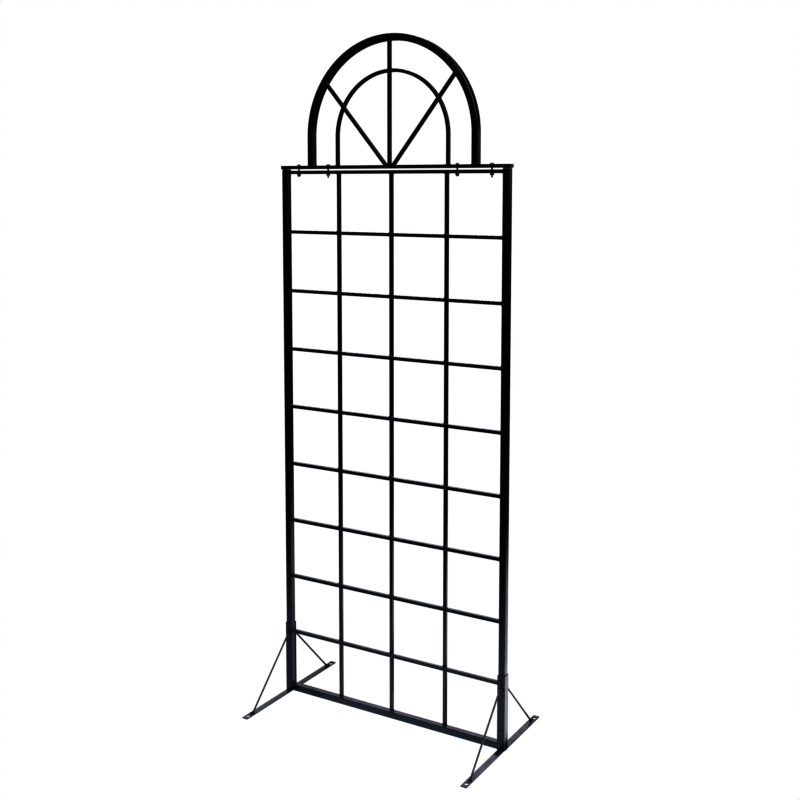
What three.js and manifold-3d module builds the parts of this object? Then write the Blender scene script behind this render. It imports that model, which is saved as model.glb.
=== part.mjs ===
// Free-standing garden trellis: a square-meshed steel panel on two cross feet, with an arched topper
// that is bolted on. Millimetres, +Z up. X runs along the panel, -Y is the front, and the origin is
// on the ground, midway between the feet.
import * as THREE from "three";
import { mergeVertices } from "three/addons/utils/BufferGeometryUtils.js";
import Module from "manifold-3d";

const wasm = await Module();
wasm.setup();

// ---------- driving dimensions ----------

const GAP = 0.3; // clear space between neighbouring pieces
const CUT = 1; // how far a cutter reaches past the surface it opens

const TUBE = 19; // square tube of the posts, the bottom rail and the outer arch
const TUBE_WALL = 1.5;
const TUBE_CORNER = 1.2; // outer corner radius of the tube
const BAR = 9.5; // square bar of the mesh, the spokes and the inner arch, and height of the flat bars

const POST_X = 358.5; // post centre line from the middle
const UPRIGHT_PITCH = 176;
const UPRIGHTS = 3;
const CROSS_BARS = 8;
const PANEL_TOP = 1587; // underside of the topper's base bar
const TOPPER_LIFT = 4.7; // daylight between the top rail and the base bar
const CAP_THICK = 2;

const BASE_OVERHANG = 3.7; // base bar past the post's outer face
const OUTER_RADIUS = 266; // centre line of the outer arch
const OUTER_LEG = 82; // straight leg below the outer arch's half circle
const INNER_RADIUS = 179.5;
const INNER_LEG = 79;
const SPOKE_FOOT = 12.5; // where a slanting spoke's centre line meets the base bar
const SPOKE_LEAN_LEFT = 49.3; // degrees above level
const SPOKE_LEAN_RIGHT = 51.4;

const FOOT_LENGTH = 452;
const FOOT_WIDTH = 18;
const FOOT_THICK = 3;
const STAKE_HOLE_R = 5.5;
const STAKE_HOLE_Y = 210;
const SLEEVE_WALL = 1.6;
const SLEEVE_TOP = 215;
const SLEEVE_LIP = 1.4; // how far the sleeve's side walls reach past the post's inner face
const BRACE_R = 2.5;
const BRACE_FOOT_Y = 187;
const BRACE_TOP_Z = 181;
const BRACE_SIDES = 12;

const BOLT_R = 2.4;
const BOLT_HOLE_R = 2.75;
const TIP_CHAMFER = 0.6; // at the end of every thread
const SMALL_BOLT_X = [-313.5, 210]; // round head above, cap nut below
const WIDE_BOLT_X = [-210, 313.5]; // low wide head above, hex nut below
const SMALL_HEAD = { radius: 4.9, height: 4.2 };
const WIDE_HEAD = { radius: 6.2, height: 3.4 };
const NUT_FLATS = 9.5;
const HEX_NUT_HEIGHT = 4.4;
const THREAD_TIP = 6.5; // thread showing below the hex nut
const CAP_NUT = { hexHeight: 3.7, domeRadius: 4.4, domeHeight: 4.5, bore: 5.7, grip: 4.9 };

const SCREW_R = 2.4;
const SCREW_HEAD = { radius: 5, rim: 0.8, height: 3 };
const SCREW_LENGTH = 7;
const SCREW_Z = [57, 198];

const ARC_STEPS = 56; // sides of an arch's half circle
const ROUND_STEPS = 20; // sides of a small round
const DOME_STEPS = 5; // rings of a domed head

// ---------- derived levels ----------

const postBottom = FOOT_THICK + GAP;
const postTop = PANEL_TOP - CAP_THICK - 2 * GAP;
const bottomRailTop = FOOT_THICK + GAP + TUBE;
const topRailTop = PANEL_TOP - TOPPER_LIFT;
const topRailBottom = topRailTop - BAR;
const baseTop = PANEL_TOP + BAR;
const clearHeight = (topRailBottom - bottomRailTop - CROSS_BARS * BAR) / (CROSS_BARS + 1);
const insideHalf = POST_X - TUBE / 2 - GAP; // half the length of what lies between the posts
const sleeveFace = TUBE / 2 + GAP + SLEEVE_WALL; // the sleeve's front and back, from the post's middle
const uprightX = (i) => (i - (UPRIGHTS - 1) / 2) * UPRIGHT_PITCH;
const crossBarZ = (i) => bottomRailTop + (i + 1) * (clearHeight + BAR) - BAR / 2; // 0 is the lowest

// Two layers of bar fill the depth of the tubes. The cross bars and the spokes lie in the front one,
// and the uprights and the inner arch in the back one, so bars that cross lie face to face.
const FRONT_LAYER = { low: -TUBE / 2, high: -GAP / 2 };
const BACK_LAYER = { low: GAP / 2, high: TUBE / 2 };

// ---------- materials ----------

const blackCoat = new THREE.MeshStandardMaterial({ color: 0x0d0e10, roughness: 0.5, metalness: 0.1 });
const blackFastener = new THREE.MeshStandardMaterial({ color: 0x15161a, roughness: 0.4, metalness: 0.6 });

// ---------- solids and booleans ----------

function toSolid(geometry) {
  const bare = geometry.clone();
  bare.deleteAttribute("normal");
  bare.deleteAttribute("uv");
  const merged = mergeVertices(bare, 1e-4);
  const mesh = new wasm.Mesh({
    numProp: 3,
    vertProperties: merged.attributes.position.array,
    triVerts: new Uint32Array(merged.index.array),
  });
  return new wasm.Manifold(mesh);
}

function toGeometry(solid) {
  const mesh = solid.getMesh();
  const geometry = new THREE.BufferGeometry();
  geometry.setAttribute("position", new THREE.BufferAttribute(mesh.vertProperties, 3));
  geometry.setIndex(new THREE.BufferAttribute(mesh.triVerts, 1));
  geometry.computeVertexNormals();
  return geometry;
}

function cut(geometry, cutters) {
  return toGeometry(cutters.reduce((solid, cutter) => solid.subtract(toSolid(cutter)), toSolid(geometry)));
}

function join(geometries) {
  return toGeometry(geometries.map(toSolid).reduce((all, next) => all.add(next)));
}

// A box between two corners.
function block(low, high) {
  const size = high.map((value, axis) => value - low[axis]);
  const middle = high.map((value, axis) => (value + low[axis]) / 2);
  return new THREE.BoxGeometry(...size).translate(...middle);
}

// A round rod along Z between two levels.
function rodZ(radius, bottom, top, steps = ROUND_STEPS) {
  const rod = new THREE.CylinderGeometry(radius, radius, top - bottom, steps);
  return rod.rotateX(Math.PI / 2).translate(0, 0, (top + bottom) / 2);
}

// A square section with small rounded corners, centred on the origin.
function roundedSquare(side, radius) {
  const half = side / 2;
  const shape = new THREE.Shape();
  shape.absarc(half - radius, half - radius, radius, 0, Math.PI / 2);
  shape.absarc(radius - half, half - radius, radius, Math.PI / 2, Math.PI);
  shape.absarc(radius - half, radius - half, radius, Math.PI, 1.5 * Math.PI);
  shape.absarc(half - radius, radius - half, radius, 1.5 * Math.PI, 2 * Math.PI);
  return shape;
}

// Square tube along Z between two levels, open at both ends.
function tubeZ(bottom, top) {
  const options = { depth: top - bottom, bevelEnabled: false, curveSegments: 3 };
  const outside = new THREE.ExtrudeGeometry(roundedSquare(TUBE, TUBE_CORNER), options);
  const bore = TUBE / 2 - TUBE_WALL;
  const inside = block([-bore, -bore, -CUT], [bore, bore, top - bottom + CUT]);
  return cut(outside, [inside]).translate(0, 0, bottom);
}

// A half circle on two straight legs, `width` wide about its centre line, in the XZ plane. Its legs
// start at `bottom` below the half circle's centre, and it is `depth` deep along Y.
function archBand(radius, width, bottom, depth) {
  const outer = radius + width / 2;
  const inner = radius - width / 2;
  const shape = new THREE.Shape();
  shape.moveTo(outer, -bottom);
  shape.lineTo(outer, 0);
  shape.absarc(0, 0, outer, 0, Math.PI);
  shape.lineTo(-outer, -bottom);
  shape.lineTo(-inner, -bottom);
  shape.absarc(0, 0, inner, Math.PI, 0, true);
  shape.lineTo(inner, -bottom);
  const options = { depth, bevelEnabled: false, curveSegments: ARC_STEPS };
  return new THREE.ExtrudeGeometry(shape, options).translate(0, 0, -depth / 2).rotateX(Math.PI / 2);
}

// ---------- assembly helpers ----------

const trellis = new THREE.Group();
trellis.name = "trellis";

function place(parent, name, geometry, material, position = [0, 0, 0]) {
  const mesh = new THREE.Mesh(geometry, material);
  mesh.name = name;
  mesh.position.set(...position);
  parent.add(mesh);
  return mesh;
}

// ---------- panel ----------

const SIDES = [
  { side: -1, name: "left" },
  { side: 1, name: "right" },
];

// Holes for the sleeve screws, from the post's middle out through its front.
function screwHoles(reach) {
  const hole = () => rodZ(BOLT_HOLE_R, 0, reach + CUT).rotateX(Math.PI / 2);
  return SCREW_Z.map((z) => hole().translate(0, 0, z));
}

function buildPosts(group) {
  const half = TUBE / 2;
  for (const { side, name } of SIDES) {
    const tube = cut(tubeZ(postBottom, postTop), screwHoles(half));
    place(group, `post_${name}`, tube, blackCoat, [side * POST_X, 0, 0]);
    const cap = block([-half, -half, postTop + GAP], [half, half, PANEL_TOP - GAP]);
    place(group, `post_cap_${name}`, cap, blackCoat, [side * POST_X, 0, 0]);
  }
}

// A flat bar as deep as the tubes, drilled for the four topper bolts.
function drilledFlatBar(reach, bottom) {
  const half = TUBE / 2;
  const bar = block([-reach, -half, bottom], [reach, half, bottom + BAR]);
  const drill = (x) => rodZ(BOLT_HOLE_R, bottom - CUT, bottom + BAR + CUT).translate(x, 0, 0);
  return cut(bar, [...SMALL_BOLT_X, ...WIDE_BOLT_X].map(drill));
}

function buildRails(group) {
  const tube = tubeZ(-insideHalf, insideHalf).rotateY(Math.PI / 2);
  place(group, "bottom_rail", tube, blackCoat, [0, 0, bottomRailTop - TUBE / 2]);
  place(group, "top_rail", drilledFlatBar(insideHalf, topRailBottom), blackCoat);
}

function buildMesh(group) {
  const half = BAR / 2;
  for (let i = 0; i < UPRIGHTS; i += 1) {
    const low = [-half, BACK_LAYER.low, bottomRailTop + GAP];
    const high = [half, BACK_LAYER.high, topRailBottom - GAP];
    place(group, `upright_bar_${i + 1}`, block(low, high), blackCoat, [uprightX(i), 0, 0]);
  }
  for (let j = 0; j < CROSS_BARS; j += 1) {
    const low = [-insideHalf, FRONT_LAYER.low, -half];
    const high = [insideHalf, FRONT_LAYER.high, half];
    place(group, `cross_bar_${CROSS_BARS - j}`, block(low, high), blackCoat, [0, 0, crossBarZ(j)]);
  }
}

// ---------- topper ----------

const outerCentre = baseTop + GAP + OUTER_LEG;
const innerCentre = baseTop + GAP + INNER_LEG;

function outerArch() {
  const tube = archBand(OUTER_RADIUS, TUBE, OUTER_LEG, TUBE);
  const bore = archBand(OUTER_RADIUS, TUBE - 2 * TUBE_WALL, OUTER_LEG + CUT, TUBE - 2 * TUBE_WALL);
  return cut(tube, [bore]);
}

// What lies inside an arch of this radius: a half circle over a rectangle, in the XZ plane.
function archFill(radius, bottom, depth) {
  const shape = new THREE.Shape();
  shape.moveTo(radius, -bottom);
  shape.lineTo(radius, 0);
  shape.absarc(0, 0, radius, 0, Math.PI);
  shape.lineTo(-radius, -bottom);
  const options = { depth, bevelEnabled: false, curveSegments: ARC_STEPS };
  return new THREE.ExtrudeGeometry(shape, options).translate(0, 0, -depth / 2).rotateX(Math.PI / 2);
}

// A spoke starts on the base bar and is cut to the outer arch's inner face. `lean` is in degrees
// above level, and `side` is -1, 0 or 1.
function spokeBlank({ side, lean }, width) {
  const half = width / 2;
  const turn = side * (Math.PI / 2 - THREE.MathUtils.degToRad(lean));
  const bar = block([-half, FRONT_LAYER.low, -2 * BAR], [half, FRONT_LAYER.high, 2 * OUTER_RADIUS]);
  return bar.rotateY(turn).translate(side * SPOKE_FOOT, 0, baseTop);
}

const CENTRE_SPOKE = { name: "spoke_centre", side: 0, lean: 90 };
const SPOKES = [
  { name: "spoke_left", side: -1, lean: SPOKE_LEAN_LEFT },
  CENTRE_SPOKE,
  { name: "spoke_right", side: 1, lean: SPOKE_LEAN_RIGHT },
];

function spoke(entry) {
  const room = archFill(OUTER_RADIUS - TUBE / 2 - GAP, OUTER_LEG, 2 * TUBE).translate(0, 0, outerCentre);
  const trimmed = toGeometry(toSolid(spokeBlank(entry, BAR)).intersect(toSolid(room)));
  return entry === CENTRE_SPOKE ? trimmed : cut(trimmed, [spokeBlank(CENTRE_SPOKE, BAR + 2 * GAP)]);
}

function innerArch() {
  const depth = BACK_LAYER.high - BACK_LAYER.low;
  return archBand(INNER_RADIUS, BAR, INNER_LEG, depth).translate(0, BACK_LAYER.low + depth / 2, 0);
}

function buildTopper(group) {
  const reach = POST_X + TUBE / 2 + BASE_OVERHANG;
  place(group, "base_bar", drilledFlatBar(reach, PANEL_TOP), blackCoat);
  place(group, "outer_arch", outerArch(), blackCoat, [0, 0, outerCentre]);
  place(group, "inner_arch", innerArch(), blackCoat, [0, 0, innerCentre]);
  SPOKES.forEach((entry) => place(group, entry.name, spoke(entry), blackCoat));
}

// ---------- topper fasteners ----------

// A bolt along Z, its head's flat underside at z = 0 and its thread reaching down to `tip`. The head
// has an upright rim, then a dome.
function domedBolt(head, shankRadius, tip) {
  const rim = head.rim ?? 0;
  const outline = [[0, tip], [shankRadius - TIP_CHAMFER, tip], [shankRadius, tip + TIP_CHAMFER]];
  outline.push([shankRadius, 0], [head.radius, 0]);
  for (let i = rim > 0 ? 0 : 1; i < DOME_STEPS; i += 1) {
    const angle = (i / DOME_STEPS) * (Math.PI / 2);
    outline.push([head.radius * Math.cos(angle), rim + (head.height - rim) * Math.sin(angle)]);
  }
  outline.push([0, head.height]);
  const profile = outline.map(([radius, height]) => new THREE.Vector2(radius, height));
  return new THREE.LatheGeometry(profile, ROUND_STEPS).rotateX(Math.PI / 2);
}

// Nuts hang below z = 0 and are bored for the bolt.
function hexPrism(height) {
  const corner = NUT_FLATS / Math.sqrt(3);
  const prism = new THREE.CylinderGeometry(corner, corner, height, 6);
  return prism.rotateX(Math.PI / 2).translate(0, 0, -height / 2);
}

function hexNut() {
  return cut(hexPrism(HEX_NUT_HEIGHT), [rodZ(BOLT_HOLE_R, -HEX_NUT_HEIGHT - CUT, CUT)]);
}

function capNut() {
  const { hexHeight, domeRadius, domeHeight, bore } = CAP_NUT;
  const dome = new THREE.SphereGeometry(domeRadius, ROUND_STEPS, 2 * DOME_STEPS).rotateX(Math.PI / 2);
  dome.scale(1, 1, domeHeight / domeRadius).translate(0, 0, -hexHeight);
  const below = block([-NUT_FLATS, -NUT_FLATS, -2 * domeHeight - hexHeight], [NUT_FLATS, NUT_FLATS, 0]);
  const lowerDome = toGeometry(toSolid(dome).intersect(toSolid(below)));
  return cut(join([hexPrism(hexHeight), lowerDome]), [rodZ(BOLT_HOLE_R, -bore, CUT)]);
}

function buildTopperFasteners(group) {
  const headSeat = baseTop + GAP;
  const nutSeat = topRailBottom - GAP;
  const capTip = nutSeat - CAP_NUT.grip - headSeat;
  const openTip = nutSeat - HEX_NUT_HEIGHT - THREAD_TIP - headSeat;
  SMALL_BOLT_X.forEach((x, i) => {
    const bolt = domedBolt(SMALL_HEAD, BOLT_R, capTip);
    place(group, `round_head_bolt_${i + 1}`, bolt, blackFastener, [x, 0, headSeat]);
    place(group, `cap_nut_${i + 1}`, capNut(), blackFastener, [x, 0, nutSeat]);
  });
  WIDE_BOLT_X.forEach((x, i) => {
    const bolt = domedBolt(WIDE_HEAD, BOLT_R, openTip);
    place(group, `wide_head_bolt_${i + 1}`, bolt, blackFastener, [x, 0, headSeat]);
    place(group, `hex_nut_${i + 1}`, hexNut(), blackFastener, [x, 0, nutSeat]);
  });
}

// ---------- feet ----------

function footBar() {
  const half = FOOT_WIDTH / 2;
  const bar = block([-half, -FOOT_LENGTH / 2, 0], [half, FOOT_LENGTH / 2, FOOT_THICK]);
  const hole = (end) => rodZ(STAKE_HOLE_R, -CUT, FOOT_THICK + CUT).translate(0, end * STAKE_HOLE_Y, 0);
  return cut(bar, [hole(-1), hole(1)]);
}

// The U channel, for a foot on the +X side: its web is on the post's outer face, and its side walls
// hold the post's front and back.
function sleeve() {
  const inner = TUBE / 2 + GAP;
  const lip = -TUBE / 2 - SLEEVE_LIP;
  const body = block([lip, -sleeveFace, FOOT_THICK + GAP], [sleeveFace, sleeveFace, SLEEVE_TOP]);
  const channel = block([lip - CUT, -inner, 0], [inner, inner, SLEEVE_TOP + CUT]);
  return cut(body, [channel, ...screwHoles(sleeveFace)]);
}

// A straight rod from the sleeve's front or back face down to the foot bar, cut flat at both ends.
// `end` is -1 at the front and 1 at the back.
function brace(end) {
  const start = sleeveFace + GAP;
  const floor = FOOT_THICK + GAP;
  const span = BRACE_FOOT_Y - start;
  const rise = BRACE_TOP_Z - floor;
  const rod = rodZ(BRACE_R, -2 * BRACE_R, Math.hypot(span, rise) + 2 * BRACE_R, BRACE_SIDES);
  rod.rotateX(end * Math.atan2(span, rise)).translate(0, end * BRACE_FOOT_Y, floor);
  const near = end * start;
  const far = end * FOOT_LENGTH;
  const room = block(
    [-TUBE, Math.min(near, far), floor],
    [TUBE, Math.max(near, far), SLEEVE_TOP],
  );
  return toGeometry(toSolid(rod).intersect(toSolid(room)));
}

// A button-headed screw whose head bears on the sleeve's front face.
function sleeveScrew() {
  return domedBolt(SCREW_HEAD, SCREW_R, -SCREW_LENGTH).rotateX(Math.PI / 2);
}

function buildFeet(group) {
  const headSeat = -(sleeveFace + GAP);
  for (const { side, name } of SIDES) {
    const foot = new THREE.Group();
    foot.position.set(side * POST_X, 0, 0);
    group.add(foot);
    place(foot, `foot_bar_${name}`, footBar(), blackCoat);
    const channel = place(foot, `foot_sleeve_${name}`, sleeve(), blackCoat);
    channel.scale.x = side;
    place(foot, `brace_front_${name}`, brace(-1), blackCoat);
    place(foot, `brace_back_${name}`, brace(1), blackCoat);
    SCREW_Z.forEach((z, i) => {
      place(foot, `sleeve_screw_${name}_${i + 1}`, sleeveScrew(), blackFastener, [0, headSeat, z]);
    });
  }
}

buildPosts(trellis);
buildRails(trellis);
buildMesh(trellis);
buildTopper(trellis);
buildTopperFasteners(trellis);
buildFeet(trellis);

export default trellis;
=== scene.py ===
"""Looks of a free-standing garden trellis: a welded panel of square bar on two cross feet, with an
arched topper bolted on. Metres, +Z up, X along the panel, -Y the front."""
import math
import random

import bmesh
import bpy
from mathutils import Matrix, Vector


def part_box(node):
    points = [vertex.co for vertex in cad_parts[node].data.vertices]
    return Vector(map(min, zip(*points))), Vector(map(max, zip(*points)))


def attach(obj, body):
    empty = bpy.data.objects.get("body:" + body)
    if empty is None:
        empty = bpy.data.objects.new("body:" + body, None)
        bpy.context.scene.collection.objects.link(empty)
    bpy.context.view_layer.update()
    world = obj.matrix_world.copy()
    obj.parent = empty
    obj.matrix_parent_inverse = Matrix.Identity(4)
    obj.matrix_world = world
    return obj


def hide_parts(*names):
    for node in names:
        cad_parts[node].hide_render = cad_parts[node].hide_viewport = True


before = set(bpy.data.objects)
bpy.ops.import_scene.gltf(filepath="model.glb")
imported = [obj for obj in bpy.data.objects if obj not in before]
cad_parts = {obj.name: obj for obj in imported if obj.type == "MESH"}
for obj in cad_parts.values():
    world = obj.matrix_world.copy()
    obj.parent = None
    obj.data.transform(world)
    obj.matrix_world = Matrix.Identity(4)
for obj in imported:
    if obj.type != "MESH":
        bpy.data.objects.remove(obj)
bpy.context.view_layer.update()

MM = 0.001

# ---------- camera ----------

CAMERA_PLACE = (1.6477, -2.6649, 1.5486)
CAMERA_TURN = math.radians(31.2476)
CAMERA_DIP = math.radians(5.5699)
CAMERA_LENS = 50.611
CAMERA_SHIFT = -0.1349


def place_camera():
    """The view from front right, at head height, with the sensor shifted to keep the posts upright."""
    data = bpy.data.cameras.new("camera")
    data.lens = CAMERA_LENS
    data.sensor_width = 36
    data.shift_y = CAMERA_SHIFT
    data.clip_start = 0.05
    data.clip_end = 100
    camera = bpy.data.objects.new("camera", data)
    camera.location = CAMERA_PLACE
    camera.rotation_euler = (math.pi / 2 - CAMERA_DIP, 0, CAMERA_TURN)
    bpy.context.scene.collection.objects.link(camera)
    bpy.context.scene.camera = camera


place_camera()

# ---------- studio ----------

FLOOR_SIZE = 3.0
FLOOR_DROP = 0.5 * MM
CARD_DROP = 0.2 * MM
FLOOR_GLOW = 0.3
ROOM_GLOW = 0.05
WHITE = (1, 1, 1)
SKY_BLUE = (0.61, 0.78, 1.0)
LILAC = (0.86, 0.85, 1.0)


def area_light(name, place, aim, width, height, radiance, tint=WHITE):
    """A soft rectangular lamp of a given brightness, pointed at `aim` and never seen itself."""
    data = bpy.data.lights.new(name, "AREA")
    data.shape = "RECTANGLE"
    data.size = width
    data.size_y = height
    data.energy = radiance * math.pi * width * height
    data.color = tint
    lamp = bpy.data.objects.new(name, data)
    lamp.location = place
    lamp.rotation_euler = (Vector(aim) - Vector(place)).to_track_quat("-Z", "Y").to_euler()
    lamp.visible_camera = False
    bpy.context.scene.collection.objects.link(lamp)


def white_room():
    """Plain white behind everything that the camera sees, and dim walls in what the metal reflects."""
    world = bpy.data.worlds.new("white room")
    world.use_nodes = True
    bpy.context.scene.world = world
    nodes = world.node_tree.nodes
    links = world.node_tree.links
    nodes.clear()
    seen = nodes.new("ShaderNodeBackground")
    seen.inputs["Strength"].default_value = 1.0
    around = nodes.new("ShaderNodeBackground")
    around.inputs["Strength"].default_value = ROOM_GLOW
    path = nodes.new("ShaderNodeLightPath")
    either = nodes.new("ShaderNodeMixShader")
    out = nodes.new("ShaderNodeOutputWorld")
    for background in (seen, around):
        background.inputs["Color"].default_value = (*WHITE, 1)
    links.new(path.outputs["Is Camera Ray"], either.inputs["Fac"])
    links.new(around.outputs["Background"], either.inputs[1])
    links.new(seen.outputs["Background"], either.inputs[2])
    links.new(either.outputs["Shader"], out.inputs["Surface"])


def pale_floor():
    """A white paper floor: plain white as it is seen, and dim in what the metal reflects."""
    bm = bmesh.new()
    bmesh.ops.create_grid(bm, x_segments=1, y_segments=1, size=FLOOR_SIZE / 2)
    mesh = bpy.data.meshes.new("floor")
    bm.to_mesh(mesh)
    bm.free()
    paper = bpy.data.materials.new("white paper floor")
    paper.use_nodes = True
    nodes = paper.node_tree.nodes
    links = paper.node_tree.links
    shader = nodes["Principled BSDF"]
    shader.inputs["Base Color"].default_value = (0, 0, 0, 1)
    shader.inputs["Specular IOR Level"].default_value = 0.0
    shader.inputs["Emission Color"].default_value = (*WHITE, 1)
    glow = nodes.new("ShaderNodeMapRange")
    glow.inputs["To Min"].default_value = FLOOR_GLOW
    glow.inputs["To Max"].default_value = 1.0
    links.new(nodes.new("ShaderNodeLightPath").outputs["Is Camera Ray"], glow.inputs["Value"])
    links.new(glow.outputs["Result"], shader.inputs["Emission Strength"])
    mesh.materials.append(paper)
    floor = bpy.data.objects.new("floor", mesh)
    floor.location = (0, 0, -FLOOR_DROP)
    bpy.context.scene.collection.objects.link(floor)


def floor_card(name, near, far, radiance, tint):
    """A patch of the floor that is lit more strongly in what the metal reflects, between two (x, y)
    corners."""
    x, y = (near[0] + far[0]) / 2, (near[1] + far[1]) / 2
    area_light(name, (x, y, -CARD_DROP), (x, y, 1), far[0] - near[0], far[1] - near[1], radiance, tint)


white_room()
pale_floor()
floor_card("near_right", (0.4, -0.2), (1.0, 0.5), radiance=5.0, tint=(0.95, 0.96, 1.0))
floor_card("behind", (0.0, 0.5), (1.0, 1.5), radiance=3.6, tint=(0.85, 0.9, 1.0))
floor_card("behind_left", (-0.33, 0.02), (0.1, 0.5), radiance=2.8, tint=(0.75, 0.88, 1.0))
floor_card("in_front_left", (-1.0, -0.72), (-0.25, 0.0), radiance=3.2, tint=SKY_BLUE)
floor_card("in_front_right", (-0.25, -0.72), (0.6, 0.0), radiance=5.0, tint=SKY_BLUE)
area_light("back_card", (-1.95, 3.2, 2.35), (0, 0, 0.6), width=2.8, height=1.1, radiance=6.6, tint=LILAC)
area_light("front_right_softbox", (1.8, -1.4, 3.2), (0, 0, 1.0), width=2.4, height=2.2, radiance=30.0)
area_light("arch_streak", (2.06, 3.24, 1.76), (0, 0, 1.65), width=0.3, height=0.3, radiance=8.0)
bpy.context.scene.view_settings.view_transform = "Standard"
bpy.context.scene.view_settings.gamma = 0.5

# ---------- shader groups ----------


FINE_GRAIN_CELLS = 2600.0
FINE_GRAIN_SHARE = 0.3
PATCH_CELLS = 14.0
RUB_CELLS = 160.0
DUST_CELLS = 45.0


def start_group(name, inputs, outputs):
    """A shader node group with number inputs (name: default) and outputs (name: socket kind)."""
    group = bpy.data.node_groups.new(name, "ShaderNodeTree")
    for socket, default in inputs.items():
        made = group.interface.new_socket(socket, in_out="INPUT", socket_type="NodeSocketFloat")
        made.default_value = default
    for socket, kind in outputs.items():
        group.interface.new_socket(socket, in_out="OUTPUT", socket_type=kind)
    nodes = group.nodes
    return group, nodes, group.links, nodes.new("NodeGroupInput"), nodes.new("NodeGroupOutput")


def math_node(nodes, links, operation, first, second):
    """A Math node fed by sockets or plain numbers; returns its output."""
    node = nodes.new("ShaderNodeMath")
    node.operation = operation
    for socket, value in zip(node.inputs, (first, second)):
        if isinstance(value, (int, float)):
            socket.default_value = value
        else:
            links.new(value, socket)
    return node.outputs["Value"]


def noise_node(nodes, links, vector, scale, detail=2.0, roughness=0.5):
    """Noise on object coordinates, `scale` in cells per metre; returns its value."""
    node = nodes.new("ShaderNodeTexNoise")
    node.inputs["Detail"].default_value = detail
    node.inputs["Roughness"].default_value = roughness
    links.new(vector, node.inputs["Vector"])
    if isinstance(scale, (int, float)):
        node.inputs["Scale"].default_value = scale
    else:
        links.new(scale, node.inputs["Scale"])
    return node.outputs["Fac"]


def stretch(nodes, links, value, from_low, from_high, to_low=0.0, to_high=1.0):
    """A clamped Map Range; returns its result."""
    node = nodes.new("ShaderNodeMapRange")
    for socket, number in zip(node.inputs[1:5], (from_low, from_high, to_low, to_high)):
        socket.default_value = number
    links.new(value, node.inputs["Value"])
    return node.outputs["Result"]


def coat_skin_group():
    """Orange peel of a sprayed and baked coat, and slow patches where it lies thicker."""
    group, nodes, links, given, out = start_group(
        "coat skin", {"Peel Scale": 700.0}, {"Height": "NodeSocketFloat", "Patch": "NodeSocketFloat"}
    )
    place = nodes.new("ShaderNodeTexCoord").outputs["Object"]
    peel = noise_node(nodes, links, place, given.outputs["Peel Scale"], 1.5)
    fine = noise_node(nodes, links, place, FINE_GRAIN_CELLS, 1.0)
    grain = math_node(nodes, links, "MULTIPLY", fine, FINE_GRAIN_SHARE)
    links.new(math_node(nodes, links, "ADD", peel, grain), out.inputs["Height"])
    slow = noise_node(nodes, links, place, PATCH_CELLS, 3.0)
    links.new(stretch(nodes, links, slow, 0.35, 0.65), out.inputs["Patch"])
    return group


def edge_rub_group():
    """Where edges have been rubbed in handling: a broken line along each outer corner."""
    group, nodes, links, given, out = start_group(
        "edge rub", {"Reach": 0.0008, "Amount": 0.5}, {"Mask": "NodeSocketFloat"}
    )
    soft = nodes.new("ShaderNodeBevel")
    soft.samples = 4
    links.new(given.outputs["Reach"], soft.inputs["Radius"])
    true = nodes.new("ShaderNodeNewGeometry")
    turn = nodes.new("ShaderNodeVectorMath")
    turn.operation = "DOT_PRODUCT"
    links.new(soft.outputs["Normal"], turn.inputs[0])
    links.new(true.outputs["Normal"], turn.inputs[1])
    corner = stretch(nodes, links, turn.outputs["Value"], 0.99, 0.80)
    place = nodes.new("ShaderNodeTexCoord").outputs["Object"]
    broken = stretch(nodes, links, noise_node(nodes, links, place, RUB_CELLS, 4.0), 0.45, 0.65)
    mask = math_node(nodes, links, "MULTIPLY", corner, broken)
    links.new(math_node(nodes, links, "MULTIPLY", mask, given.outputs["Amount"]), out.inputs["Mask"])
    return group


def dust_group():
    """Thin dust that has settled on whatever faces up."""
    group, nodes, links, given, out = start_group(
        "settled dust", {"Amount": 0.5}, {"Mask": "NodeSocketFloat"}
    )
    up = nodes.new("ShaderNodeSeparateXYZ")
    links.new(nodes.new("ShaderNodeNewGeometry").outputs["Normal"], up.inputs["Vector"])
    level = stretch(nodes, links, up.outputs["Z"], 0.5, 0.95)
    place = nodes.new("ShaderNodeTexCoord").outputs["Object"]
    clumps = noise_node(nodes, links, place, DUST_CELLS, 5.0, 0.6)
    cloud = stretch(nodes, links, clumps, 0.3, 0.7, 0.5, 1.0)
    mask = math_node(nodes, links, "MULTIPLY", level, cloud)
    links.new(math_node(nodes, links, "MULTIPLY", mask, given.outputs["Amount"]), out.inputs["Mask"])
    return group


COAT_SKIN = coat_skin_group()
EDGE_RUB = edge_rub_group()
DUST = dust_group()

# ---------- materials ----------


DUST_COLOUR = (0.055, 0.05, 0.065)
DUST_AMOUNT = 0.5
RUB_COLOUR = (0.05, 0.05, 0.052)
RUB_ROUGHENS = 0.15
PEEL_DEPTH = 0.05 * MM
COAT_BLACKS = ((0.002, 0.0023, 0.003), (0.0014, 0.0017, 0.0022))
FASTENER_BLACKS = ((0.012, 0.012, 0.013), (0.006, 0.006, 0.007))


def place_group(tree, group, **values):
    """Puts a group in a material with its own values."""
    node = tree.nodes.new("ShaderNodeGroup")
    node.node_tree = group
    for socket, value in values.items():
        node.inputs[socket.replace("_", " ")].default_value = value
    return node.outputs


def mix_colour(tree, mask, under, over):
    """Lays a plain colour over another where the mask says; returns the colour."""
    node = tree.nodes.new("ShaderNodeMix")
    node.data_type = "RGBA"
    tree.links.new(mask, node.inputs["Factor"])
    for socket, value in ((node.inputs[6], under), (node.inputs[7], over)):
        if isinstance(value, tuple):
            socket.default_value = (*value, 1)
        else:
            tree.links.new(value, socket)
    return node.outputs[2]


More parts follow.
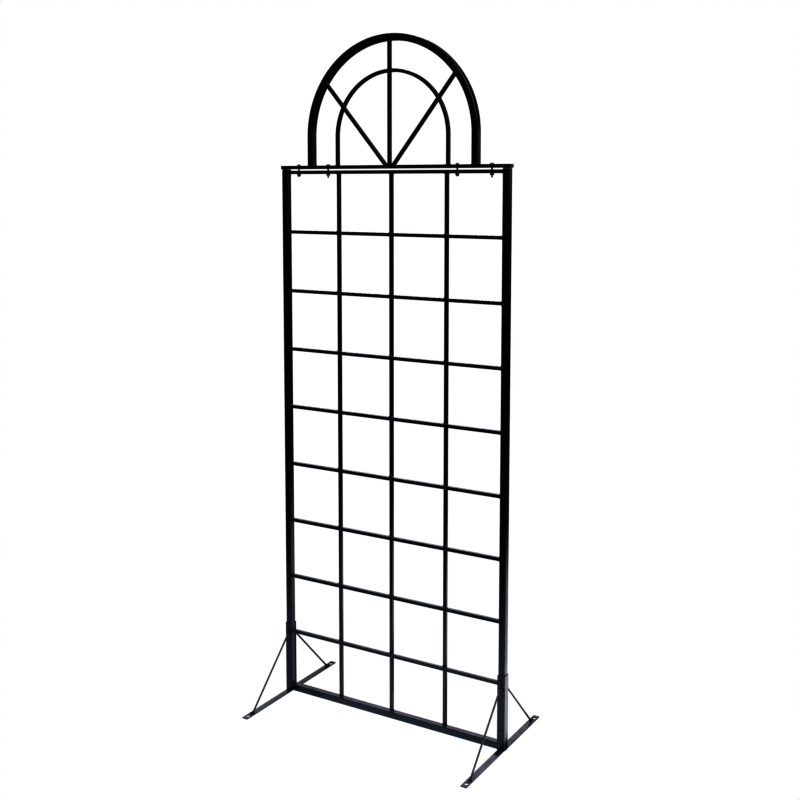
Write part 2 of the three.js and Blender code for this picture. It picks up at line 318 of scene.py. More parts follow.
def coated_metal(name, blacks, roughness, specular, metallic=0.0, peel=0.3, peel_scale=700.0, rub=0.5):
    """Black coated steel: patches between two blacks, dust on top, rubbed edges and orange peel.
    `blacks` and `roughness` are those of the thin and of the thick patches."""
    material = bpy.data.materials.new(name)
    material.use_nodes = True
    tree = material.node_tree
    shader = tree.nodes["Principled BSDF"]
    shader.inputs["Specular IOR Level"].default_value = specular
    shader.inputs["Metallic"].default_value = metallic
    skin = place_group(tree, COAT_SKIN, Peel_Scale=peel_scale)
    settled = place_group(tree, DUST, Amount=DUST_AMOUNT)
    rubbed = place_group(tree, EDGE_RUB, Amount=rub)
    colour = mix_colour(tree, skin["Patch"], *blacks)
    colour = mix_colour(tree, settled["Mask"], colour, DUST_COLOUR)
    colour = mix_colour(tree, rubbed["Mask"], colour, RUB_COLOUR)
    tree.links.new(colour, shader.inputs["Base Color"])
    sheen = stretch(tree.nodes, tree.links, skin["Patch"], 0.0, 1.0, *roughness)
    worn = math_node(tree.nodes, tree.links, "MULTIPLY", rubbed["Mask"], RUB_ROUGHENS)
    tree.links.new(math_node(tree.nodes, tree.links, "ADD", sheen, worn), shader.inputs["Roughness"])
    bump = tree.nodes.new("ShaderNodeBump")
    bump.inputs["Strength"].default_value = peel
    bump.inputs["Distance"].default_value = PEEL_DEPTH
    tree.links.new(skin["Height"], bump.inputs["Height"])
    tree.links.new(bump.outputs["Normal"], shader.inputs["Normal"])
    return material


satin_black = coated_metal("satin black powder coat", COAT_BLACKS, (0.24, 0.32), 0.2)
weld_black = coated_metal(
    "black coat over weld", COAT_BLACKS, (0.3, 0.42), 0.3, peel=0.9, peel_scale=420.0
)
black_fastener = coated_metal(
    "blackened fastener", FASTENER_BLACKS, (0.3, 0.42), 0.4, metallic=0.5, rub=0.8
)

# ---------- ways of making a piece ----------

GAP = 0.3 * MM
TUBE = 19 * MM
TUBE_CORNER = 1.6 * MM
TUBE_WALL = 1.5 * MM
BAR = 9.5 * MM
BAR_CORNER = 0.9 * MM
FINE_EDGE = 0.3 * MM
HOLE_STEPS = 24
TURNED_STEPS = 24
ARCH_STEPS = 72
SHARP_FROM = math.radians(38)
SAME_POINT = 1e-6


def add_piece(name, bm, material, slot, *nodes):
    """Makes a finished piece of a bmesh. It rides on the frame and stands for the CAD nodes named."""
    mesh = bpy.data.meshes.new(name)
    bm.to_mesh(mesh)
    bm.free()
    mesh.materials.append(material)
    mesh.shade_smooth()
    mesh.set_sharp_from_angle(angle=SHARP_FROM)
    piece = bpy.data.objects.new(name, mesh)
    bpy.context.scene.collection.objects.link(piece)
    level = piece.modifiers.new("keep flats flat", "WEIGHTED_NORMAL")
    level.keep_sharp = True
    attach(piece, "root")
    if nodes:
        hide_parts(*nodes)


def coated(name, bm, node):
    add_piece(name, bm, satin_black, "black_coat", node)


def fastener(name, bm, node):
    add_piece(name, bm, black_fastener, "fastener", node)


def of_kind(geometry, kind):
    return [item for item in geometry if isinstance(item, kind)]


def corners(faces):
    return list(dict.fromkeys(vert for face in faces for vert in face.verts))


def whole(faces):
    """Faces with their edges and corners, so that drawing them out leaves no wall inside."""
    return faces + list(dict.fromkeys(edge for face in faces for edge in face.edges)) + corners(faces)


def outward(bm):
    bmesh.ops.recalc_face_normals(bm, faces=bm.faces[:])


def join(bm, other):
    """Adds a second solid to a bmesh and frees it."""
    mesh = bpy.data.meshes.new("part")
    other.to_mesh(mesh)
    other.free()
    bm.from_mesh(mesh)
    bpy.data.meshes.remove(mesh)


def section(bm, width, depth, corner, wall=None):
    """A rounded rectangle in the XY plane, about the origin. With a wall it is the cut end of a tube."""
    verts = bmesh.ops.create_grid(bm, x_segments=1, y_segments=1, size=0.5)["verts"]
    bmesh.ops.scale(bm, vec=(width, depth, 1), verts=verts)
    rounded = bmesh.ops.bevel(
        bm, geom=verts, offset=corner, affect="VERTICES", segments=3, profile=0.5, material=-1
    )["verts"]
    face = rounded[0].link_faces[0]
    if wall is None:
        return [face]
    ring = bmesh.ops.inset_region(
        bm, faces=[face], thickness=wall, use_boundary=True, use_even_offset=True
    )["faces"]
    bmesh.ops.delete(bm, geom=[face], context="FACES_ONLY")
    return ring


def go(bm, faces, step):
    """Draws a section out along a straight and returns its far end."""
    made = bmesh.ops.extrude_face_region(bm, geom=whole(faces))["geom"]
    bmesh.ops.translate(bm, vec=step, verts=of_kind(made, bmesh.types.BMVert))
    return of_kind(made, bmesh.types.BMFace)


def turn(bm, faces, centre, axis, angle, steps):
    """Draws a section round a bend and returns its far end."""
    made = bmesh.ops.spin(bm, geom=whole(faces), cent=centre, axis=axis, angle=angle, steps=steps)
    return of_kind(made["geom_last"], bmesh.types.BMFace)


def break_edges(bm, width, steepest=70, segments=2):
    """Takes the sharpness off every edge steeper than an angle, in degrees."""
    sharp = [e for e in bm.edges if e.is_manifold and e.calc_face_angle() > math.radians(steepest)]
    bmesh.ops.bevel(
        bm, geom=sharp, offset=width, affect="EDGES", segments=segments, profile=0.5, material=-1
    )


def cut_off(bm, point, normal):
    """Saws a solid through at a plane, drops the side that the normal points to and closes the cut."""
    cut = bmesh.ops.bisect_plane(
        bm, geom=bm.verts[:] + bm.edges[:] + bm.faces[:], plane_co=point, plane_no=normal,
        clear_outer=True
    )["geom_cut"]
    bmesh.ops.contextual_create(bm, geom=of_kind(cut, bmesh.types.BMEdge))


# Turns the Z axis, along which a bar is drawn, to X, Y or Z.
LIE_ALONG = (
    Matrix(((0, 0, 1), (1, 0, 0), (0, 1, 0))),
    Matrix(((1, 0, 0), (0, 0, 1), (0, 1, 0))),
    Matrix.Identity(3),
)


def straight_bar(node, axis, corner, wall=None):
    """A straight bar or tube in a CAD node's box, its rounded section drawn out along one axis."""
    low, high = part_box(node)
    size = high - low
    across = [i for i in range(3) if i != axis]
    bm = bmesh.new()
    end = section(bm, size[across[0]], size[across[1]], corner, wall)
    go(bm, end, (0, 0, size[axis]))
    outward(bm)
    break_edges(bm, FINE_EDGE, segments=1)
    start = (low + high) / 2
    start[axis] = low[axis]
    bmesh.ops.transform(
        bm, matrix=Matrix.Translation(start) @ LIE_ALONG[axis].to_4x4(), verts=bm.verts
    )
    outward(bm)
    return bm


def flat_bar(node, holes, radius):
    """A flat bar lying level in a CAD node's box, with round holes at some (x, y) points."""
    low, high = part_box(node)
    size = high - low
    middle = (low + high) / 2
    bm = bmesh.new()
    plate = bmesh.ops.create_grid(bm, x_segments=1, y_segments=1, size=0.5)["verts"]
    bmesh.ops.scale(bm, vec=(size.x, size.y, 1), verts=plate)
    bmesh.ops.delete(bm, geom=bm.faces[:], context="FACES_ONLY")
    for x, y in holes:
        place = Matrix.Translation((x - middle.x, y - middle.y, 0))
        bmesh.ops.create_circle(bm, segments=HOLE_STEPS, radius=radius, matrix=place)
    bmesh.ops.triangle_fill(bm, use_beauty=True, use_dissolve=False, edges=bm.edges[:])
    go(bm, bm.faces[:], (0, 0, size.z))
    outward(bm)
    bmesh.ops.dissolve_limit(
        bm, angle_limit=math.radians(1), verts=bm.verts[:], edges=bm.edges[:]
    )
    break_edges(bm, 2 * FINE_EDGE)
    bmesh.ops.translate(bm, vec=(middle.x, middle.y, low.z), verts=bm.verts)
    return bm


def arch(node, width, corner, wall=None):
    """A half circle on two straight legs in a CAD node's box, its section drawn from foot to foot."""
    low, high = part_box(node)
    radius = (high.x - low.x - width) / 2
    spring = high.z - width / 2 - radius
    middle = (low.y + high.y) / 2
    leg = Vector((0, 0, spring - low.z))
    bm = bmesh.new()
    foot = section(bm, width, high.y - low.y, corner, wall)
    bmesh.ops.translate(bm, vec=(radius, middle, low.z), verts=corners(foot))
    crown = turn(bm, go(bm, foot, leg), (0, middle, spring), (0, 1, 0), -math.pi, ARCH_STEPS)
    go(bm, crown, -leg)
    outward(bm)
    return bm


def turned(bm, outline):
    """Turns an outline of (radius, height) points about Z."""
    verts = [bm.verts.new((radius, 0, height)) for radius, height in outline]
    edges = [bm.edges.new(pair) for pair in zip(verts, verts[1:])]
    bmesh.ops.spin(
        bm, geom=verts + edges, cent=(0, 0, 0), axis=(0, 0, 1), angle=2 * math.pi,
        steps=TURNED_STEPS, use_merge=True
    )
    bmesh.ops.remove_doubles(bm, verts=bm.verts, dist=SAME_POINT)


# ---------- panel ----------

SIDES = (("left", -1), ("right", 1))
ENDS = (("front", -1), ("back", 1))
CROSS_BARS = 8
UPRIGHTS = 3

for name, side in SIDES:
    coated(f"{name}_post", straight_bar(f"post_{name}", 2, TUBE_CORNER, TUBE_WALL), f"post_{name}")
    coated(f"{name}_post_plug", straight_bar(f"post_cap_{name}", 2, TUBE_CORNER), f"post_cap_{name}")
coated("lower_rail", straight_bar("bottom_rail", 0, TUBE_CORNER, TUBE_WALL), "bottom_rail")
for i in range(1, CROSS_BARS + 1):
    coated(f"level_bar_{i}", straight_bar(f"cross_bar_{i}", 0, BAR_CORNER), f"cross_bar_{i}")
for i in range(1, UPRIGHTS + 1):
    coated(f"upright_{i}", straight_bar(f"upright_bar_{i}", 2, BAR_CORNER), f"upright_bar_{i}")

# ---------- topper ----------

BOLT_HOLE = 2.75 * MM
SPOKE_FOOT = 12.5 * MM
# Each spoke's side, and how steeply it leans.
SPOKES = {
    "left": (-1, math.radians(49.3)),
    "centre": (0, math.radians(90)),
    "right": (1, math.radians(51.4)),
}
TOPPER_BOLTS = ("round_head_bolt_1", "wide_head_bolt_1", "round_head_bolt_2", "wide_head_bolt_2")


def middle_of(node):
    low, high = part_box(node)
    return (low + high) / 2


arch_low, arch_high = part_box("outer_arch")
arch_radius = (arch_high.x - arch_low.x) / 2
arch_centre = Vector((0, 0, arch_high.z - arch_radius))
base_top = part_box("base_bar")[1].z


def way_to_circle(start, along, centre, radius):
    """How far a line in the panel's plane runs from inside a circle before it meets it."""
    offset = Vector((start.x, 0, start.z)) - centre
    run = -offset.dot(along)
    return run + math.sqrt(run**2 + radius**2 - offset.length_squared)


def spoke_line(side, lean):
    """Where a spoke's centre line starts on the base bar, its direction, and its length to the arch."""
    start = Vector((side * SPOKE_FOOT, middle_of("spoke_centre").y, base_top))
    along = Vector((side * math.cos(lean), 0, math.sin(lean)))
    return start, along, way_to_circle(start, along, arch_centre, arch_radius - TUBE)


def spoke(side, lean, depth):
    """A bar from the base bar to the arch, sawn level at its foot and square to the arch at its top."""
    start, along, length = spoke_line(side, lean)
    bm = bmesh.new()
    bar = section(bm, BAR, depth, BAR_CORNER)
    bmesh.ops.translate(bm, vec=(0, 0, -2 * BAR), verts=corners(bar))
    go(bm, bar, (0, 0, length + 4 * BAR))
    tilt = Matrix.Rotation(side * (math.pi / 2 - lean), 4, "Y")
    bmesh.ops.transform(bm, matrix=Matrix.Translation(start) @ tilt, verts=bm.verts)
    cut_off(bm, start, (0, 0, -1))
    tip = start + along * (length - GAP)
    cut_off(bm, tip, Vector((tip.x, 0, tip.z)) - arch_centre)
    outward(bm)
    return bm


bolt_points = [middle_of(bolt).to_2d() for bolt in TOPPER_BOLTS]
coated("upper_rail", flat_bar("top_rail", bolt_points, BOLT_HOLE), "top_rail")
coated("topper_base", flat_bar("base_bar", bolt_points, BOLT_HOLE), "base_bar")
coated("big_arch", arch("outer_arch", TUBE, TUBE_CORNER, TUBE_WALL), "outer_arch")
coated("small_arch", arch("inner_arch", BAR, BAR_CORNER), "inner_arch")
for name, (side, lean) in SPOKES.items():
    low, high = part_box(f"spoke_{name}")
    coated(f"{name}_spoke", spoke(side, lean, high.y - low.y), f"spoke_{name}")

# ---------- fasteners ----------

PITCH = 1.0 * MM
THREAD_DEPTH = 0.5 * MM
THREAD_CREST = (0.4, 0.6)
THREAD_STEPS = 16
SHANK = 2.4 * MM
GRIP = 16 * MM
DOME_RINGS = 6
HEAD_EDGE = 0.3 * MM
SOCKET = 1.5 * MM
# The crown round a socket, the smallest ring of the dome outside it, both in socket radii, and the
# socket's depth in head heights.
SOCKET_RIM = 1.3
SOCKET_CLEAR = 1.5
SOCKET_DEPTH = 0.6
SOCKET_LIP = 0.05 * MM
ROUND_HEAD = {"radius": 4.9 * MM, "height": 4.2 * MM, "rim": 0.5 * MM, "socket_radius": SOCKET}
WIDE_HEAD = {"radius": 6.2 * MM, "height": 3.4 * MM, "rim": 0.2 * MM}
NUT_FLATS = 9.5 * MM
NUT_CHAMFER = 0.7 * MM
CAP_NUT_HEX = 3.7 * MM
CAP_RADIUS = 4.4 * MM
CAP_RIM = 0.6 * MM


def thread(bm, low, high):
    """A screw thread about Z: one ridge wound round by a spin that climbs a pitch a turn."""
    turns = math.ceil((high - low) / PITCH) + 2
    root = SHANK - THREAD_DEPTH
    ridge = [(root, 0), (SHANK, THREAD_CREST[0]), (SHANK, THREAD_CREST[1]), (root, 1)]
    verts = [bm.verts.new((radius, 0, low + (part - 1) * PITCH)) for radius, part in ridge]
    edges = [bm.edges.new(pair) for pair in zip(verts, verts[1:])]
    bmesh.ops.spin(
        bm, geom=verts + edges, cent=(0, 0, 0), axis=(0, 0, 1), angle=2 * math.pi * turns,
        dvec=(0, 0, PITCH / THREAD_STEPS), steps=THREAD_STEPS * turns
    )
    bmesh.ops.remove_doubles(bm, verts=bm.verts, dist=SAME_POINT)
    cut_off(bm, (0, 0, low), (0, 0, -1))
    cut_off(bm, (0, 0, high), (0, 0, 1))


def socket(bm, radius, top, depth):
    """Sinks a hexagon socket into the open crown of a turned head."""
    rim = [e for e in bm.edges if e.is_boundary]
    hexagon = bmesh.ops.create_circle(
        bm, segments=6, radius=radius, matrix=Matrix.Translation((0, 0, top))
    )["verts"]
    edges = list(dict.fromkeys(e for v in hexagon for e in v.link_edges))
    bmesh.ops.bridge_loops(bm, edges=rim + edges)
    made = bmesh.ops.extrude_edge_only(bm, edges=edges)["geom"]
    floor = of_kind(made, bmesh.types.BMVert)
    bmesh.ops.translate(bm, vec=(0, 0, -depth), verts=floor)
    bm.faces.new(sorted(floor, key=lambda v: math.atan2(v.co.y, v.co.x)))


def domed_head(bm, radius, height, rim, socket_radius=None):
    """A domed head on z = 0, with a rounded edge, an upright rim and, if asked for, a hexagon socket."""
    outline = [(0, 0), (radius - HEAD_EDGE, 0), (radius, HEAD_EDGE), (radius, rim + HEAD_EDGE)]
    for i in range(1, DOME_RINGS):
        angle = i / DOME_RINGS * math.pi / 2
        ring = radius * math.cos(angle)
        if socket_radius is None or ring > SOCKET_CLEAR * socket_radius:
            outline.append((ring, rim + (height - rim) * math.sin(angle)))
    if socket_radius is None:
        outline.append((0, height))
        turned(bm, outline)
    else:
        top = outline[-1][1] + SOCKET_LIP
        outline.append((SOCKET_RIM * socket_radius, top))
        turned(bm, outline)
        socket(bm, socket_radius, top, SOCKET_DEPTH * height)


def bolt(node, head):
    """A bolt hanging from its head: a domed head, a plain shank and a thread down to its tip."""
    low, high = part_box(node)
    middle = (low + high) / 2
    seat = high.z - head["height"]
    bm = bmesh.new()
    domed_head(bm, **head)
    bmesh.ops.create_cone(
        bm, cap_ends=True, segments=TURNED_STEPS, radius1=SHANK, radius2=SHANK, depth=GRIP,
        matrix=Matrix.Translation((0, 0, -GRIP / 2))
    )
    outward(bm)
    screw = bmesh.new()
    thread(screw, low.z - seat, -GRIP + GAP)
    outward(screw)
    join(bm, screw)
    bmesh.ops.translate(bm, vec=(middle.x, middle.y, seat), verts=bm.verts)
    return bm


def hex_block(bm, bottom, top):
    """A six-sided block about Z, its corners chamfered above and below."""
    corner = NUT_FLATS / math.sqrt(3)
    made = bmesh.ops.create_cone(
        bm, cap_ends=True, segments=6, radius1=corner, radius2=corner, depth=top - bottom,
        matrix=Matrix.Translation((0, 0, (top + bottom) / 2))
    )["verts"]
    bmesh.ops.bevel(
        bm, geom=made, offset=NUT_CHAMFER, affect="VERTICES", segments=2, profile=0.5, material=-1
    )


def open_nut(node):
    """A plain nut, wound on the bolt's thread."""
    low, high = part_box(node)
    middle = (low + high) / 2
    bm = bmesh.new()
    hex_block(bm, low.z, high.z)
    bmesh.ops.translate(bm, vec=(middle.x, middle.y, 0), verts=bm.verts)
    outward(bm)
    return bm


def cap_nut(node):
    """A nut with a domed cap under it."""
    low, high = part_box(node)
    middle = (low + high) / 2
    shoulder = high.z - CAP_NUT_HEX
    bm = bmesh.new()
    hex_block(bm, shoulder, high.z)
    dome = bmesh.new()
    domed_head(dome, CAP_RADIUS, shoulder - low.z, CAP_RIM)
    bmesh.ops.rotate(dome, cent=(0, 0, 0), matrix=Matrix.Rotation(math.pi, 3, "X"), verts=dome.verts)
    bmesh.ops.translate(dome, vec=(0, 0, shoulder + GAP), verts=dome.verts)
    join(bm, dome)
    bmesh.ops.translate(bm, vec=(middle.x, middle.y, 0), verts=bm.verts)
    outward(bm)
    return bm


for i in (1, 2):
    fastener(f"dome_bolt_{i}", bolt(f"round_head_bolt_{i}", ROUND_HEAD), f"round_head_bolt_{i}")
    fastener(f"carriage_bolt_{i}", bolt(f"wide_head_bolt_{i}", WIDE_HEAD), f"wide_head_bolt_{i}")
    fastener(f"dome_nut_{i}", cap_nut(f"cap_nut_{i}"), f"cap_nut_{i}")
    fastener(f"plain_nut_{i}", open_nut(f"hex_nut_{i}"), f"hex_nut_{i}")

# ---------- feet ----------

STAKE_HOLE = 5.5 * MM
STAKE_HOLE_Y = 210 * MM
SLEEVE_WALL = 1.6 * MM
SLEEVE_BEND = 1.6 * MM
ROD = 2.5 * MM
ROD_SIDES = 16
ROD_BEND = 9 * MM
ROD_TAIL = 9 * MM
ROD_BEND_STEPS = 6
ROD_END_EDGE = 0.5 * MM
SCREW_HEAD = 5 * MM
SCREW_HEAD_HEIGHT = 3 * MM
SCREW_HEAD_RIM = 0.8 * MM


def sleeve(node, side):
    """The U channel round the post's foot, folded from sheet, open on the side of the panel."""
    low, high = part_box(node)
    web = high.x if side > 0 else low.x
    lip = low.x if side > 0 else high.x
    bm = bmesh.new()
    outline = [
        bm.verts.new(point)
        for point in ((lip, low.y, low.z), (web, low.y, low.z), (web, high.y, low.z), (lip, high.y, low.z))
    ]
    for pair in zip(outline, outline[1:]):
        bm.edges.new(pair)
    bmesh.ops.bevel(
        bm, geom=outline[1:3], offset=SLEEVE_BEND, affect="VERTICES", segments=4, profile=0.5,
        material=-1
    )
    made = bmesh.ops.extrude_edge_only(bm, edges=bm.edges[:])["geom"]
    bmesh.ops.translate(bm, vec=(0, 0, high.z - low.z), verts=of_kind(made, bmesh.types.BMVert))
    outward(bm)
    centre = Vector(((web + lip) / 2, 0, 0))
    first = max(bm.faces, key=lambda f: f.calc_area())
    if (first.calc_center_median() - centre).to_2d().dot(first.normal.to_2d()) < 0:
        bmesh.ops.reverse_faces(bm, faces=bm.faces[:])
    bmesh.ops.solidify(bm, geom=bm.faces[:], thickness=SLEEVE_WALL)
    outward(bm)
    break_edges(bm, FINE_EDGE)
    return bm


def brace(node, end):
    """A round rod from the sleeve's face to the foot bar. Its top end is bent to lie down the face and
    its bottom end to lie along the bar. `end` is -1 at the front and 1 at the back."""
    low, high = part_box(node)
    x = (low.x + high.x) / 2
    near, far = sorted((low.y, high.y), key=abs)
    top = Vector((x, near + end * ROD, high.z - ROD))
    foot = Vector((x, far - end * 2 * ROD, low.z + ROD))
    lean = math.atan2(abs(foot.y - top.y), top.z - foot.z)
    slide = ROD_BEND * math.tan(lean / 2)
    base_turn = math.pi / 2 - lean
    base_slide = ROD_BEND * math.tan(base_turn / 2)
    bm = bmesh.new()
    made = bmesh.ops.create_circle(bm, cap_ends=True, segments=ROD_SIDES, radius=ROD)["verts"]
    tip = [made[0].link_faces[0]]
    bmesh.ops.translate(bm, vec=top + Vector((0, 0, ROD_TAIL)), verts=made)
    tip = go(bm, tip, (0, 0, slide - ROD_TAIL))
    hinge = top + Vector((0, end * ROD_BEND, slide))
    tip = turn(bm, tip, hinge, (1, 0, 0), end * lean, ROD_BEND_STEPS)
    straight = (foot - top).length - slide - base_slide
    along = (foot - top).normalized()
    tip = go(bm, tip, along * straight)
    elbow = foot + Vector((0, end * base_slide, ROD_BEND))
    tip = turn(bm, tip, elbow, (1, 0, 0), end * base_turn, ROD_BEND_STEPS)
    go(bm, tip, (0, end * ROD_TAIL, 0))
    outward(bm)
    break_edges(bm, ROD_END_EDGE)
    return bm


def sleeve_screw(node):
    """A button-headed screw through the sleeve's front."""
    low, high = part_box(node)
    middle = (low + high) / 2
    bm = bmesh.new()
    domed_head(bm, SCREW_HEAD, SCREW_HEAD_HEIGHT, SCREW_HEAD_RIM, SOCKET)
    depth = high.y - low.y - SCREW_HEAD_HEIGHT
    bmesh.ops.create_cone(
        bm, cap_ends=True, segments=TURNED_STEPS, radius1=SHANK - FINE_EDGE, radius2=SHANK, depth=depth,
        matrix=Matrix.Translation((0, 0, -depth / 2))
    )
    outward(bm)
    bmesh.ops.rotate(bm, cent=(0, 0, 0), matrix=Matrix.Rotation(math.pi / 2, 3, "X"), verts=bm.verts)
    bmesh.ops.translate(bm, vec=(middle.x, low.y + SCREW_HEAD_HEIGHT, middle.z), verts=bm.verts)
    return bm


for name, side in SIDES:
    post_x = middle_of(f"post_{name}").x
    stakes = [(post_x, -STAKE_HOLE_Y), (post_x, STAKE_HOLE_Y)]
    coated(f"{name}_foot", flat_bar(f"foot_bar_{name}", stakes, STAKE_HOLE), f"foot_bar_{name}")
    coated(f"{name}_sleeve", sleeve(f"foot_sleeve_{name}", side), f"foot_sleeve_{name}")
    for place, end in ENDS:
        coated(f"{name}_{place}_brace", brace(f"brace_{place}_{name}", end), f"brace_{place}_{name}")
    for i in (1, 2):
        node = f"sleeve_screw_{name}_{i}"
        fastener(f"{name}_button_screw_{i}", sleeve_screw(node), node)

# ---------- welds ----------

# Sizes of the beads, by what they lie on.
OVER_BAR = 2.1 * MM
UNDER_BAR = 1.6 * MM
BEHIND_BAR = 1.6 * MM
FRONT_OF_END = 1.5 * MM
ROUND_END = 1.7 * MM
FRONT_OF_UPRIGHT = 1.7 * MM
BESIDE_UPRIGHT = 1.5 * MM
TUBE_SEAM = 1.3 * MM
BESIDE_TUBE = 1.7 * MM
SPOKE_TOP = 1.2 * MM
SLEEVE_SEAM = 2.2 * MM
WEB_SEAM = 1.0 * MM
ROD_SEAM = 1.5 * MM

BEAD_SIDES = 8
BEAD_RINGS = 7
BEAD_TIP = 0.45
BEAD_SWELL = (0.13, 0.74)
BEAD_BLUNTNESS = 0.6
BEAD_RIPPLE = 0.09
BEAD_SWAY = 0.12
BEAD_LUMPS = (0.88, 1.12)
BEAD_SIZES = (0.9, 1.15)
dice = random.Random(11)

# From a bar's middle to the bead beside it, and from front to back of a bar in the back layer.
BAR_SIDE = 5.2 * MM
BACK_LAYER = (0.5 * MM, 9 * MM)
SEAT = base_top + 0.1 * MM
POST_FACE = abs(middle_of("post_left").x) - TUBE / 2
UPRIGHT_PLACES = [middle_of(f"upright_bar_{i}").x for i in range(1, UPRIGHTS + 1)]
small_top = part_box("inner_arch")[1]
small_radius = small_top.x - BAR / 2
small_centre = Vector((0, 0, small_top.z - BAR / 2 - small_radius))


def bead(bm, start, end, radius):
    """A lumpy run of weld metal along a line: a ring drawn out in ripples and closed at both ends."""
    along = Vector(end) - Vector(start)
    ring = bmesh.ops.create_circle(bm, cap_ends=True, segments=BEAD_SIDES, radius=1.0)["verts"]
    face = ring[0].link_faces[0]
    verts = list(ring)
    fat = BEAD_TIP * radius
    sway = BEAD_SWAY * radius
    bmesh.ops.scale(bm, vec=(fat, fat, 1), verts=ring)
    for i in range(1, BEAD_RINGS + 1):
        # The swell follows a sine that starts and stops part of the way up, so both ends are blunt.
        part = BEAD_SWELL[0] + BEAD_SWELL[1] * (i / BEAD_RINGS)
        swell = math.sin(math.pi * part) ** BEAD_BLUNTNESS
        next_fat = radius * swell * (1 + BEAD_RIPPLE * (-1) ** i) * dice.uniform(*BEAD_LUMPS)
        made = bmesh.ops.extrude_face_region(bm, geom=whole([face]))["geom"]
        ring = of_kind(made, bmesh.types.BMVert)
        face = of_kind(made, bmesh.types.BMFace)[0]
        bmesh.ops.scale(bm, vec=(next_fat / fat, next_fat / fat, 1), verts=ring)
        step = (dice.uniform(-sway, sway), dice.uniform(-sway, sway), along.length / BEAD_RINGS)
        bmesh.ops.translate(bm, vec=step, verts=ring)
        fat = next_fat
        verts += ring
    lie = Matrix.Translation(start) @ along.to_track_quat("Z", "Y").to_matrix().to_4x4()
    bmesh.ops.transform(bm, matrix=lie, verts=verts)


def add_welds(name, beads):
    """One piece made of many beads, each a (start, end, radius)."""
    bm = bmesh.new()
    for start, end, radius in beads:
        bead(bm, start, end, radius * dice.uniform(*BEAD_SIZES))
    outward(bm)
    add_piece(name, bm, weld_black, "black_coat")


def level_bead(x, half, y, z, radius):
    """A bead that lies level along the panel, `half` to each side of x."""
    return (x - half, y, z), (x + half, y, z), radius


def deep_bead(x, near, far, z, radius):
    """A bead that lies level through the panel, from front to back."""
    return (x, near, z), (x, far, z), radius


def crossing(x, z):
    """Beads where a level bar lies across an upright: over and under it, and down its back."""
    half = BAR / 2
    reach = half + 1.2 * MM
    runs = [
        level_bead(x, reach, -0.5 * MM, z + half + 0.6 * MM, OVER_BAR),
        level_bead(x, reach, -0.4 * MM, z - half - 0.4 * MM, UNDER_BAR),
    ]
    for side in (-1, 1):
        at = x + side * (half + 0.5 * MM)
        runs.append(((at, 0.6 * MM, z - reach), (at, 0.6 * MM, z + reach), BEHIND_BAR))
    return runs


def butt(side, low, high):
    """Beads where a bar's end meets a post's inner face: up its front, and over and under it."""
    x = side * POST_FACE
    at = x - side * 0.5 * MM
    front = low.y + 0.2 * MM
    runs = [((x, front, low.z - 0.3 * MM), (x, front, high.z + 0.3 * MM), FRONT_OF_END)]
    for level, lift in ((high.z, 0.5 * MM), (low.z, -0.5 * MM)):
        runs.append(deep_bead(at, low.y + 0.6 * MM, high.y - 0.6 * MM, level + lift, ROUND_END))
    return runs


def butts(node):
    """The beads at both ends of a bar between the posts."""
    low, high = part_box(node)
    return [run for side in (-1, 1) for run in butt(side, low, high)]


def cross_bar_welds(i):
    """Beads along a level bar: at each upright, and at both posts."""
    low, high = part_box(f"cross_bar_{i}")
    runs = [run for x in UPRIGHT_PLACES for run in crossing(x, (low.z + high.z) / 2)]
    add_welds(f"level_bar_{i}_welds", runs + butts(f"cross_bar_{i}"))


def rail_welds(name, node, inner, lift):
    """Beads at a rail's ends, and where the uprights meet it at the height `inner`."""
    runs = butts(node)
    for x in UPRIGHT_PLACES:
        runs.append(level_bead(x, 5.4 * MM, -0.5 * MM, inner + lift, FRONT_OF_UPRIGHT))
        for side in (-1, 1):
            runs.append(deep_bead(x + side * BAR_SIDE, *BACK_LAYER, inner + lift, BESIDE_UPRIGHT))
    add_welds(name, runs)


def arch_foot_welds():
    """Beads round the feet of both arches, on the base bar."""
    runs = []
    for side in (-1, 1):
        leg_x = side * arch_radius - side * TUBE / 2
        for face in (-1, 1):
            runs.append(level_bead(leg_x, 8 * MM, face * 9.3 * MM, SEAT, TUBE_SEAM))
        for face in (-1, 1):
            at = leg_x + face * (TUBE / 2 + 0.4 * MM)
            runs.append(deep_bead(at, -8.5 * MM, 8.5 * MM, SEAT + 0.4 * MM, BESIDE_TUBE))
        inner_x = side * small_radius
        runs.append(level_bead(inner_x, 5.5 * MM, -0.4 * MM, SEAT + 0.5 * MM, UNDER_BAR))
        for face in (-1, 1):
            runs.append(deep_bead(inner_x + face * BAR_SIDE, *BACK_LAYER, SEAT + 0.4 * MM, BESIDE_UPRIGHT))
    add_welds("arch_foot_welds", runs)


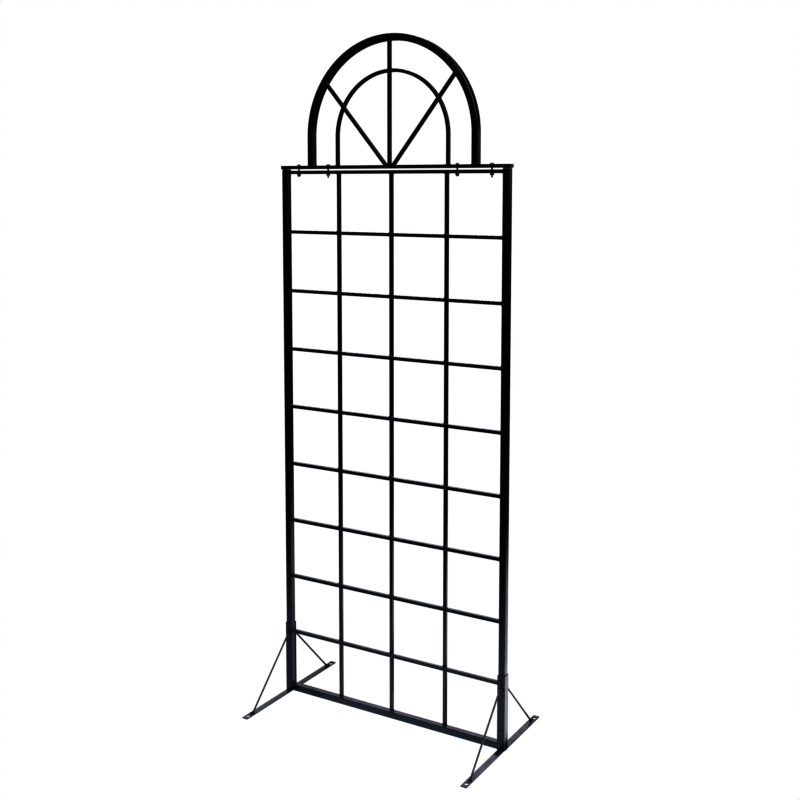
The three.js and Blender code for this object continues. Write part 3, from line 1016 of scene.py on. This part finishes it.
def spoke_beads(side, lean):
    """Beads round a spoke's foot and tip, and down both sides where it laps the small arch."""
    start, along, length = spoke_line(side, lean)
    across = Vector((along.z, 0, -along.x))
    depth = Vector((0, -4.6 * MM, 0))
    runs = [level_bead(start.x, 6 * MM, start.y + depth.y, SEAT, TUBE_SEAM)]
    for face in (-1, 1):
        foot = start + across * face * 5.4 * MM + Vector((0, 0, 0.6 * MM))
        foot.x = start.x + face * (BAR / 2 / along.z + 0.4 * MM)
        runs.append((foot - 0.8 * depth, foot + 0.8 * depth, UNDER_BAR))
        tip = start + along * (length - 0.6 * MM) + across * face * 5.0 * MM
        runs.append((tip - 0.8 * depth, tip + 0.8 * depth, BESIDE_UPRIGHT))
    tip = start + along * (length - 0.4 * MM) + depth
    runs.append((tip - across * 4.6 * MM, tip + across * 4.6 * MM, SPOKE_TOP))
    lap = way_to_circle(start, along, small_centre, small_radius)
    for face in (-1, 1):
        spot = start + along * lap + across * face * BAR_SIDE
        spot.y = 0.3 * MM
        runs.append((spot - along * 5.6 * MM, spot + along * 5.6 * MM, UNDER_BAR))
    return runs


def foot_welds(name, side):
    """Beads round a sleeve's foot on the foot bar, and down both sides of each rod's two ends."""
    low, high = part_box(f"foot_sleeve_{name}")
    floor = low.z + 0.4 * MM
    runs = []
    for place, end in ENDS:
        face_y = end * high.y
        runs.append(((low.x + 1.5 * MM, face_y, floor), (high.x - 1.5 * MM, face_y, floor), SLEEVE_SEAM))
        brace_low, brace_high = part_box(f"brace_{place}_{name}")
        rod_x = (brace_low.x + brace_high.x) / 2
        far = max(abs(brace_low.y), abs(brace_high.y))
        lip_y = face_y + end * 0.8 * MM
        for face in (-1, 1):
            at = rod_x + face * 2.2 * MM
            runs.append(((at, lip_y, brace_high.z - 9 * MM), (at, lip_y, brace_high.z + 6 * MM), ROD_SEAM))
            runs.append(deep_bead(at, end * (far - 8 * MM), end * (far + 3 * MM), 3.8 * MM, ROD_SEAM))
    web = high.x if side > 0 else low.x
    runs.append(deep_bead(web, low.y + 2 * MM, high.y - 2 * MM, floor, WEB_SEAM))
    add_welds(f"{name}_foot_welds", runs)


for i in range(1, CROSS_BARS + 1):
    cross_bar_welds(i)
rail_welds("upper_rail_welds", "top_rail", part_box("top_rail")[0].z, -0.5 * MM)
rail_welds("lower_rail_welds", "bottom_rail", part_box("bottom_rail")[1].z, 0.5 * MM)
arch_foot_welds()
add_welds("spoke_welds", [run for side, lean in SPOKES.values() for run in spoke_beads(side, lean)])
for name, side in SIDES:
    foot_welds(name, side)
